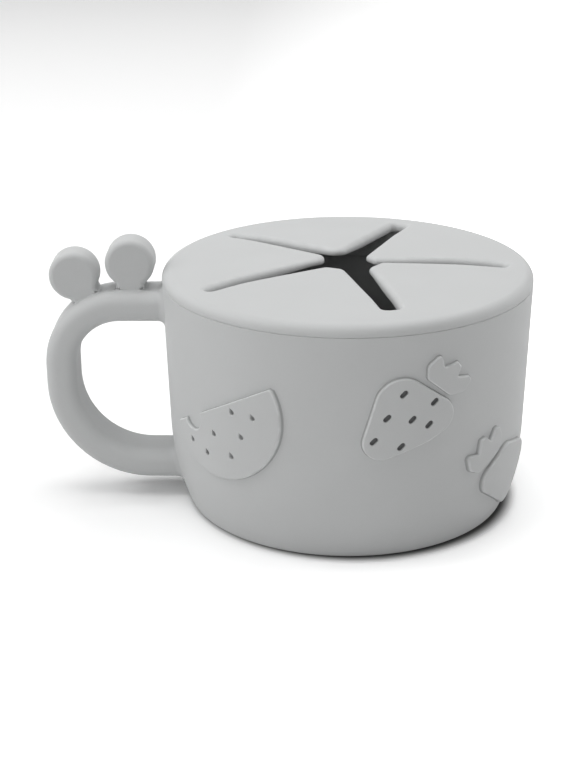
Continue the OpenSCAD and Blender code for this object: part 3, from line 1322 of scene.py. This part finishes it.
@dataclass
class Lid:
    """The push-in lid: a domed top with a round rim and a skirt, cut into five flaps.

    Attributes:
        wall: The cup's outside surface.
        finish: Its finish.
        slits: The five slits, anticlockwise.
        height: Height of the rim above the seam.
        crown: Height of the dome above the rim.
        thickness: Thickness of the top.
        edge: Radius of the rim's round edge.
        seam_fillet: Fillet of the lower edge at the seam.
        skirt: Depth of the skirt below the seam.
        skirt_thickness: Thickness of the skirt.
        bead: Radius of the sealing bead.
        play: Clearance between the bead and the bore.
        top_radius: Radius out to which the top is cut and filled flat.
        tip_round: Largest rounding of the flaps' tips, seen from above.
        tip_share: Largest share of a slit's inner width that a tip's rounding may have.
        tip_thickness: Thickness of the tips, as a share of the top's.
        taper_from: Distance from the middle at which the flaps begin to thicken.
        taper_to: Distance at which they have their full thickness.
        slit_bow: Radius with which the slits' sides bow.
        top_round: Rounding of the flaps' upper edges.
        end_round: Largest rounding of the slits' ends, seen from above.
        end_share: Largest share of a slit's outer width that its end's rounding may have.
        under_round: Rounding of the flaps' lower edges.
        hinge: Distance of the hinges from the middle.
        bend: How far the soft bend reaches past the hinge.
        bend_steps: Number of cuts along the soft bend.
        edge_from: Direction in which the rim's round edge begins, in degrees.
        grid: Distance between the cuts that let the top bow.
        steps_round: Number of steps round.
    """

    wall: Wall
    finish: Silicone
    slits: tuple[Slit, ...]
    height: float = 2.75 * MM
    crown: float = 1 * MM
    thickness: float = 2.4 * MM
    edge: float = 2.3 * MM
    seam_fillet: float = 0.25 * MM
    skirt: float = 7 * MM
    skirt_thickness: float = 2 * MM
    bead: float = 0.7 * MM
    play: float = 0.08 * MM
    top_radius: float = 41 * MM
    tip_round: float = 2.4 * MM
    tip_share: float = 0.9
    tip_thickness: float = 0.7
    taper_from: float = 9 * MM
    taper_to: float = 19 * MM
    slit_bow: float = 40 * MM
    top_round: float = 1.6 * MM
    end_round: float = 1.3 * MM
    end_share: float = 0.49
    under_round: float = 0.4 * MM
    hinge: float = 28 * MM
    bend: float = 4 * MM
    bend_steps: int = 8
    edge_from: float = 87.3
    grid: float = 4 * MM
    steps_round: int = 240

    @property
    def rim_z(self) -> float:
        """Height of the top where its round edge begins."""
        return self.wall.height + self.height

    @property
    def skirt_radius(self) -> float:
        """Outer radius of the skirt."""
        return self.wall.rim - self.wall.thickness - self.play - self.bead

    @property
    def plate_radius(self) -> float:
        """Radius of the flat part of the work, out to the skirt's inside."""
        return self.skirt_radius - self.skirt_thickness

    def dome(self, radius: float) -> float:
        """Height of the top at a distance from the middle.

        Args:
            radius: The distance.

        Returns:
            The height.
        """
        edge = self.wall.rim - self.edge
        ball = (edge**2 + self.crown**2) / (2 * self.crown)
        return self.rim_z + self.crown - ball + math.sqrt(ball**2 - radius**2)

    def pairs(self) -> list[tuple[Slit, Slit]]:
        """The two slits beside each flap, anticlockwise."""
        return list(zip(self.slits, [*self.slits[1:], self.slits[0]]))

    def star(self) -> list[Point]:
        """Outline of the opening between the flaps: five slits that meet in the middle.

        Returns:
            The outline's points, anticlockwise.
        """
        corners = []
        for slit, after in self.pairs():
            left, right, next_right = slit.side(1), slit.side(-1), after.side(-1)
            out = (left[-1].normalized() + next_right[-1].normalized()).normalized()
            end_round = min(self.end_round, (left[-1] - right[-1]).length * self.end_share)
            widths = [each.stations[0][2] * MM for each in (slit, after)]
            tips = [min(self.tip_round, width * self.tip_share) for width in widths]
            corners += [
                (*right[1], self.slit_bow),
                (*right[2], end_round),
                (*left[2], end_round),
                (*left[1], self.slit_bow),
                (*self.at_tip(left, slit.tip, out), tips[0]),
                (*self.at_tip(next_right, slit.tip, out), tips[1]),
            ]
        return rounded(corners)

    def at_tip(self, side: list[Vector], tip: float, out: Vector) -> Vector:
        """Where a slit's side meets the blunt end of the flap that points against `out`."""
        near, run = side[0], side[1] - side[0]
        return near + run * ((tip - near.dot(out)) / run.dot(out))

    def chord(self, slit: Slit, after: Slit) -> tuple[Vector, Vector]:
        """The line along which a flap joins the rim.

        Args:
            slit: The slit on the flap's right, seen from the middle.
            after: The slit on its left.

        Returns:
            The middle of the line, and the direction away from the lid's middle.
        """
        ends = [each.end(self.top_round).to_3d() for each in (slit, after)]
        run = (ends[1] - ends[0]).normalized()
        return (ends[0] + ends[1]) / 2, Vector((run.y, -run.x, 0))

    def bow(self, v: BMVert) -> Vector:
        """Lays a corner of the flat work onto the dome, thinner towards the flaps' tips.

        Args:
            v: The corner.

        Returns:
            Its place.
        """
        radius = v.co.xy.length
        share = min(1.0, max(0.0, (radius - self.taper_from) / (self.taper_to - self.taper_from)))
        depth = v.co.z * (self.tip_thickness + (1 - self.tip_thickness) * share)
        return Vector((v.co.x, v.co.y, self.dome(radius) + depth))

    def plate(self) -> Blank:
        """The domed top, out to its rim and the inside of the skirt, with its slits cut.

        Returns:
            The mesh in the making.
        """
        blank = Blank()
        r, under, t = self.top_round, self.under_round, self.thickness
        star = blank.outline(self.star(), r, 0)
        blank.fill([*star, *blank.outline(self.circle(self.top_radius))])
        # The slits' rounded edges get the edge mask, for wear and painted highlight.
        star = blank.rings(star, [(r - out, -fall) for out, fall in quarter(r, steps=6)], 1.0)
        below = reversed([(0, 0), *quarter(under)])
        star = blank.rings(star, [(under - out, up - t) for out, up in below], 1.0)
        blank.fill([*star, *blank.outline(self.circle(self.plate_radius), 0, -t)])
        for axis in (0, 1):
            blank.cut_evenly(axis, -self.top_radius, self.top_radius, self.grid)
        for pair in self.pairs():
            blank.cut(*self.chord(*pair))
        blank.warp(self.bow)
        return blank

    def circle(self, radius: float) -> list[Point]:
        """A circle round the lid's middle."""
        return arc((0, 0), radius, 0, 360, self.steps_round)[:-1]

    def build(self) -> None:
        """Cuts the plate into the five flaps and the ring, and turns the ring's rim."""
        for number, pair in enumerate(self.pairs(), 1):
            self.flap(number, *pair)
        self.ring()

    def keep(self, blank: Blank, wanted: Callable[[Vector], bool]) -> list[BMEdge]:
        """Keeps the faces whose middles are wanted, and gives the loops where it was cut.

        Args:
            blank: The mesh in the making.
            wanted: Tells whether a face with the given middle is kept.

        Returns:
            The loops' edges.
        """
        bm = blank.bm
        loose = [f for f in bm.faces if not wanted(f.calc_center_median())]
        bmesh.ops.delete(bm, geom=loose, context="FACES")
        within = self.plate_radius - 0.1 * MM
        open_edges = [e for e in bm.edges if e.is_boundary]
        return [e for e in open_edges if min(v.co.xy.length for v in e.verts) < within]

    def close(self, blank: Blank, cuts: list[BMEdge]) -> None:
        """Closes the cuts with flat faces that keep crisp corners.

        Args:
            blank: The mesh in the making.
            cuts: The loops where it was cut.
        """
        bmesh.ops.holes_fill(blank.bm, edges=cuts, sides=0)
        for edge in cuts:
            edge.smooth = False

    def flap(self, number: int, slit: Slit, after: Slit) -> None:
        """Cuts one flap out of the plate, with cuts across the soft bend at its hinge.

        Args:
            number: The flap's number.
            slit: The slit on its right, seen from the middle.
            after: The slit on its left.
        """
        blank = self.plate()
        root, away = self.chord(slit, after)

        def inside(middle: Vector) -> bool:
            """True on this flap.

            Args:
                middle: Middle of a face.

            Returns:
                True where the face belongs to the flap.
            """
            beyond = (middle - root).dot(away) > 0
            return slit.is_left(middle) and not after.is_left(middle) and not beyond

        self.close(blank, self.keep(blank, inside))
        stretch = root.dot(away) - self.hinge + self.bend
        for i in range(1, self.bend_steps + 1):
            blank.cut(root - away * (stretch * i / self.bend_steps), away)
        name = f"flap_{number}"
        piece = blank.piece(f"lid_{name}")
        piece.data.materials.append(self.finish.material())
        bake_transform(piece)
        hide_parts(name)
        log.info("%s: %d faces, from lid to %s", piece.name, len(piece.data.polygons), name)

    def rim_profile(self) -> list[Point]:
        """Half section of the rim and skirt, from the top's edge round to the underside.

        Returns:
            Radius and height of each point.
        """
        rim, seam, fillet = self.wall.rim, self.wall.height, self.seam_fillet
        edge, inner, top = rim - self.edge, self.plate_radius, self.top_radius
        foot, skirt = seam - self.skirt, self.skirt_radius
        corner, bead_z = self.skirt_thickness / 4, seam - self.skirt / 2
        return [
            ((top + edge) / 2, self.dome((top + edge) / 2)),
            *arc((edge, self.rim_z - self.edge), self.edge, self.edge_from, 0, steps=12),
            *arc((rim - fillet, seam + fillet), fillet, 0, -90, steps=6),
            *arc((skirt + fillet, seam - fillet), fillet, 90, 180, steps=4),
            *arc((skirt, bead_z), self.bead, 90, -90, steps=10),
            *arc((skirt - corner, foot + corner), corner, 0, -90, steps=4),
            *arc((inner + corner, foot + corner), corner, -90, -180, steps=4),
            (inner, self.dome(inner) - self.thickness),
        ]

    def ring(self) -> None:
        """Takes the flaps out of the plate and lofts the rim round what is left."""
        blank = self.plate()
        chords = [self.chord(*pair) for pair in self.pairs()]
        cuts = self.keep(blank, lambda m: any((m - root).dot(away) > 0 for root, away in chords))
        self.close(blank, cuts)
        middle = self.dome(self.plate_radius) - self.thickness / 2
        edges = [e for e in blank.bm.edges if e.is_boundary and e.verts[0].co.z > middle]
        for radius, z in self.rim_profile():
            edges = blank.loft(
                edges,
                lambda v, r=radius, h=z: v.co.xy.to_3d().normalized() * r + UP * h,
            )
        dress(blank.piece("lid_rim"), self.finish, "lid", "lid_ring")


# --- Studio ---------------------------------------------------------------------------


LAMP_AIM = 30 * MM


@dataclass(frozen=True)
class Softbox:
    """A square area light that points at the container.

    Attributes:
        name: The light's name.
        place: Its place.
        side: Length of its sides.
        power: Its power, in watts.
    """

    name: str
    place: tuple[float, float, float]
    side: float
    power: float

    def build(self) -> None:
        """Hangs the light and turns it to the container."""
        lamp = bpy.data.lights.new(self.name, "AREA")
        lamp.size = self.side
        lamp.energy = self.power
        hung = add(self.name, lamp)
        hung.location = self.place
        aim = UP * LAMP_AIM - Vector(self.place)
        hung.rotation_euler = aim.to_track_quat("-Z", "Y").to_euler()


@dataclass(frozen=True)
class Viewpoint:
    """Where the photograph was taken from.

    Attributes:
        place: The camera's place.
        yaw: Its turn from +Y towards +X, in degrees.
        pitch: How far it looks down, in degrees.
        roll: Its turn about its own axis, in degrees.
        lens: Its focal length, in millimetres.
    """

    place: tuple[float, float, float] = (-4.85 * MM, -391.73 * MM, 181.66 * MM)
    yaw: float = -1.35
    pitch: float = 21.51
    roll: float = -0.37
    lens: float = 78.35

    def build(self) -> None:
        """Sets up the camera."""
        yaw, pitch = math.radians(self.yaw), math.radians(self.pitch)
        ahead = Vector((math.sin(yaw), math.cos(yaw), 0)) * math.cos(pitch) - UP * math.sin(pitch)
        right = Vector((math.cos(yaw), -math.sin(yaw), 0))
        level = Matrix((right, right.cross(ahead), -ahead)).transposed()
        tipped = level @ Matrix.Rotation(math.radians(self.roll), 3, "Z")
        made = bpy.data.cameras.new("camera")
        made.lens = self.lens
        camera = add("camera", made)
        camera.matrix_world = Matrix.Translation(self.place) @ tipped.to_4x4()
        bpy.context.scene.camera = camera


@dataclass
class Studio:
    """A white sweep with soft light, as in the photograph, with painted light and a painted shadow on its
    floor.

    Attributes:
        boxes: The lights.
        ambient: Strength with which the world lights the container.
        floor_colour: Whiteness with which the floor lights the container.
        shown_left: How white the floor shows on the left, where its painted light is weakest.
        shown_right: How white it shows on the right, where its painted light is strongest.
        side: Distance from the middle at which it has those two whites.
        base: Middle of the painted shadow round the container's base.
        dark: How white the floor shows in that painted shadow, as a share.
        dark_to: Radius out to which the painted shadow is full.
        lit_from: Radius from which the painted shadow has faded and the floor is white again.
        floor_size: Length of the floor's sides.
    """

    boxes: tuple[Softbox, ...]
    ambient: float = 0.13
    floor_colour: float = 0.8
    shown_left: float = 1.12
    shown_right: float = 1.55
    side: float = 60 * MM
    base: tuple[float, float, float] = (1.4 * MM, -0.5 * MM, 0)
    dark: float = 0.05
    dark_to: float = 38.1 * MM
    lit_from: float = 42.7 * MM
    floor_size: float = 6.0

    def build(self) -> None:
        """Builds the floor, the world, the lights and the camera."""
        self.floor()
        self.world()
        for box in self.boxes:
            box.build()
        Viewpoint().build()

    def seen_directly(self, graph: Graph) -> bpy.types.NodeSocket:
        """1 for the camera and for what it sees in gloss or through glass.

        Args:
            graph: The tree of shader nodes.

        Returns:
            The socket with the value.
        """
        rays = graph.node("LightPath").outputs
        seen = graph.math("MAXIMUM", rays["Is Camera Ray"], rays["Is Glossy Ray"])
        return graph.math("MAXIMUM", seen, rays["Is Transmission Ray"])

    def shown_floor(self, graph: Graph) -> bpy.types.NodeSocket:
        """How white the floor shows: painted light makes it whiter on the right, and a painted shadow darkens
        it where it meets the base.

        Args:
            graph: The tree of shader nodes.

        Returns:
            The socket with the value.
        """
        place = graph.node("TexCoord").outputs["Object"]
        across = graph.node("SeparateXYZ", {0: place}).outputs["X"]
        # Painted light: the floor shows whiter towards the right.
        sides = {"Value": across, "From Min": -self.side, "From Max": self.side}
        shown = {"To Min": self.shown_left, "To Max": self.shown_right}
        white = graph.node("MapRange", {**sides, **shown}).outputs[0]
        # Painted shadow: the floor shows dark in a ring round the container's base.
        moved = graph.node("VectorMath", {0: place, 1: self.base}, operation="SUBTRACT")
        away = graph.node("VectorMath", {0: moved.outputs[0]}, operation="LENGTH").outputs["Value"]
        edge = {"Value": away, "From Min": self.dark_to, "From Max": self.lit_from, "To Min": self.dark}
        lit = graph.node("MapRange", edge, interpolation_type="SMOOTHSTEP").outputs[0]
        return graph.math("MULTIPLY", white, lit)

    def floor(self) -> None:
        """Lays the floor, which shows whiter than it lights the container."""
        bm = bmesh.new()
        bmesh.ops.create_grid(bm, x_segments=2, y_segments=2, size=self.floor_size / 2)
        mesh = bpy.data.meshes.new("floor")
        bm.to_mesh(mesh)
        bm.free()
        floor = add("floor", mesh)
        paper = bpy.data.materials.new("paper")
        paper.use_nodes = True
        graph = Graph(paper.node_tree)
        shown = self.shown_floor(graph)
        span = {"Value": self.seen_directly(graph), "To Min": self.floor_colour, "To Max": shown}
        shade = graph.node("MapRange", span, clamp=False).outputs[0]
        colour = graph.node("CombineColor", {0: shade, 1: shade, 2: shade}).outputs[0]
        shader = graph.node("BsdfDiffuse", {"Color": colour})
        graph.node("OutputMaterial", {"Surface": shader.outputs[0]})
        mesh.materials.append(paper)

    def world(self) -> None:
        """Sets an even grey world, which shows white."""
        world = bpy.data.worlds.new("studio")
        bpy.context.scene.world = world
        world.use_nodes = True
        graph = Graph(world.node_tree)
        span = {"Value": self.seen_directly(graph), "To Min": self.ambient, "To Max": 1.0}
        strength = graph.node("MapRange", span, clamp=False).outputs[0]
        shade = graph.node("Background", {"Color": (1, 1, 1, 1), "Strength": strength})
        graph.node("OutputWorld", {"Surface": shade.outputs[0]})


# --- The container --------------------------------------------------------------------


def main() -> None:
    """Builds the container and its studio; each piece logs its number of faces."""
    logging.basicConfig(level=logging.INFO, format="%(name)s: %(message)s")
    bpy.context.scene.view_settings.view_transform = "Standard"
    grey = (0.571, 0.58, 0.58)
    cup_finish = Silicone("cup silicone", grey)
    lid_finish = Silicone("lid silicone", grey)
    # The fruit's stronger edge lightening is mostly a painted highlight along the reliefs' rims.
    fruit_finish = Silicone("fruit silicone", grey, wear_and_painted_highlight=0.22)
    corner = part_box("cup_body")[1]
    wall = Wall(rim=corner.x, height=corner.z)
    Cup(wall, cup_finish).build()
    handle = Handle(wall, cup_finish)
    handle.build()
    Knob(
        name="knob_inner",
        handle=handle,
        finish=cup_finish,
        place=Matrix.Translation((-wall.rim - handle.inner_knob, 0, handle.arm_z)),
        height=6.65 * MM,
        curve=0,
    ).build()
    Knob(
        name="knob_outer",
        handle=handle,
        finish=cup_finish,
        place=Matrix.Translation(handle.corner_middle)
        @ Matrix.Rotation(math.radians(handle.outer_knob), 4, "Y")
        @ Matrix.Translation((0, 0, handle.corner)),
        height=6.1 * MM,
        curve=handle.corner,
    ).build()
    Melon().build(wall, fruit_finish)
    Strawberry(
        name="strawberry_front",
        angle=16.6,
        z=wall.height - 19.9 * MM,
        lobes=((7.3, -0.2, 4.6), (-0.9, 3.6, 6.3), (-5.5, -5.3, 4.3), (3.4, -0.6, 6)),
        crown=(9.4, 9, -46),
        seeds=((-0.7, 6.2), (6.8, 3.4), (-4.4, 0.7), (1.5, -0.2), (5.6, -2), (-7.3, -4.8), (-1, -6.6)),
    ).build(wall, fruit_finish)
    Strawberry(
        name="strawberry_side",
        angle=61,
        z=14.5 * MM,
        lobes=((-7.4, 0.6, 3.9), (3.8, -6.6, 3.8), (5.5, 1.5, 4.5), (-1.7, 3.6, 4.2)),
        crown=(-11.6, 8.2, 22),
    ).build(wall, fruit_finish)
    slits = (
        Slit(-2, ((9, 1.2, 1.9), (28, 2.65, 3.9), (38.5, 0.95, 2.6)), 6.6 * MM),
        Slit(67, ((13, 1.25, 6.1), (27, 1.1, 4.4), (38, 0.75, 3.9)), 10 * MM),
        Slit(141.7, ((13, -3.25, 4.1), (31, -3, 3.2), (38.5, -1.6, 1.8)), 5.9 * MM),
        Slit(212, ((13, -2.2, 4.5), (29, -2, 2.6), (38.3, -0.7, 2.1)), 5.3 * MM),
        Slit(286, ((13, 0.7, 5.5), (27, 0.6, 4.6), (34.8, 0.2, 4)), 6.6 * MM),
    )
    Lid(wall, lid_finish, slits).build()
    Studio(
        boxes=(
            Softbox("overhead", (0, 0.1, 1.2), 1.2, 9.2),
            Softbox("high_left", (-0.9, 0.1, 0.9), 0.6, 4.2),
            Softbox("left", (-1.2, -0.5, 0.6), 0.9, 3.2),
            Softbox("front", (0, -1.4, 0.8), 1, 3.6),
            Softbox("back_right", (1.1, 0.5, 0.5), 0.7, 3.8),
        )
    ).build()


if __name__ == "__main__":
    main()
